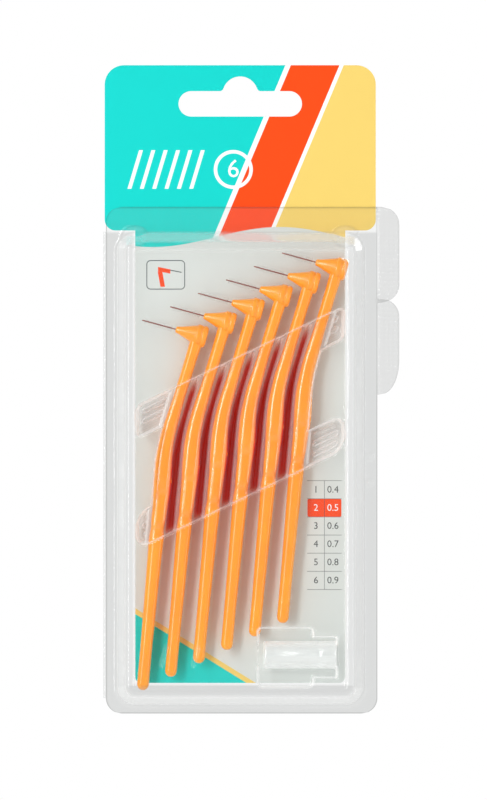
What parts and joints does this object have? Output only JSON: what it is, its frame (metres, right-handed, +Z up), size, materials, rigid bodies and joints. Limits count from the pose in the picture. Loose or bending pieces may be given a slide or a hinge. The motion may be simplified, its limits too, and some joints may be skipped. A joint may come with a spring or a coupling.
{
  "type": "interdental brush pack",
  "caption": "Hang-sell pack of angled interdental brushes held in channels of a clear hinged clamshell, with a printed card and a clear cap for a brush head.",
  "frame": {"origin": "centre of the straight part of the hang slot, in the plane where the two halves of the case meet", "axes": "+X to the right across the pack, +Z up along the pack as it hangs; the front faces -Y"},
  "size_m": [0.0766, 0.0099, 0.1679],
  "materials": {
    "printed_card": "coated print",
    "clear_film": "clear thermoformed sheet",
    "orange_plastic": "glossy moulded",
    "core_wire": "twisted wire",
    "filament": "nylon filament",
    "clear_cap": "clear moulded"
  },
  "bodies": {
    "rear_half": {"hang_card": "printed_card", "back_shell": "clear_film", "living_hinge": "clear_film"},
    "front_half": {"front_shell": "clear_film", "cap": "clear_cap", "handle_1": "orange_plastic", "handle_2": "orange_plastic", "handle_3": "orange_plastic", "handle_4": "orange_plastic", "handle_5": "orange_plastic", "handle_6": "orange_plastic", "nose_1": "orange_plastic", "nose_2": "orange_plastic", "nose_3": "orange_plastic", "nose_4": "orange_plastic", "nose_5": "orange_plastic", "nose_6": "orange_plastic", "wire_1": "core_wire", "wire_2": "core_wire", "wire_3": "core_wire", "wire_4": "core_wire", "wire_5": "core_wire", "wire_6": "core_wire", "bristles_1": "filament", "bristles_2": "filament", "bristles_3": "filament", "bristles_4": "filament", "bristles_5": "filament", "bristles_6": "filament"}
  },
  "joints": [
    {"name": "case_hinge", "type": "hinge", "parent": "rear_half", "child": "front_half", "pos_m": [-0.03514, 0, -0.0936], "axis": [0, 0, -1], "range_deg": [0, 175]}
  ]
}
